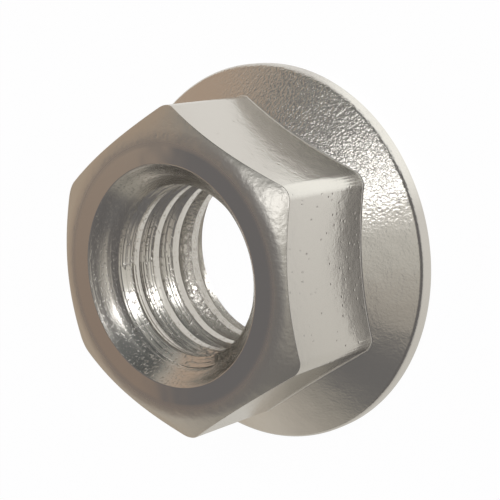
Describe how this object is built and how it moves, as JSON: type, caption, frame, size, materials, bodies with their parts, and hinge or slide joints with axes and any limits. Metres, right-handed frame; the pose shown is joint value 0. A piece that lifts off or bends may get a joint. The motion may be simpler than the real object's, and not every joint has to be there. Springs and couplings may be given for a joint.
{
  "type": "serrated flange nut",
  "caption": "Hexagon nut forged in one piece with a conical washer flange, whose bearing face has ratchet serrations that hold it against loosening.",
  "frame": {"origin": "on the thread's axis at the bearing face, where the crests of the serrations lie", "axes": "+Z along the thread's axis from the bearing face to the top face, +X square to one flat of the hexagon"},
  "size_m": [0.0254, 0.0254, 0.0111],
  "materials": {
    "stainless": "cold-forged austenitic stainless steel, tumbled bright"
  },
  "bodies": {
    "root": {"flange_nut": "stainless"}
  },
  "joints": []
}
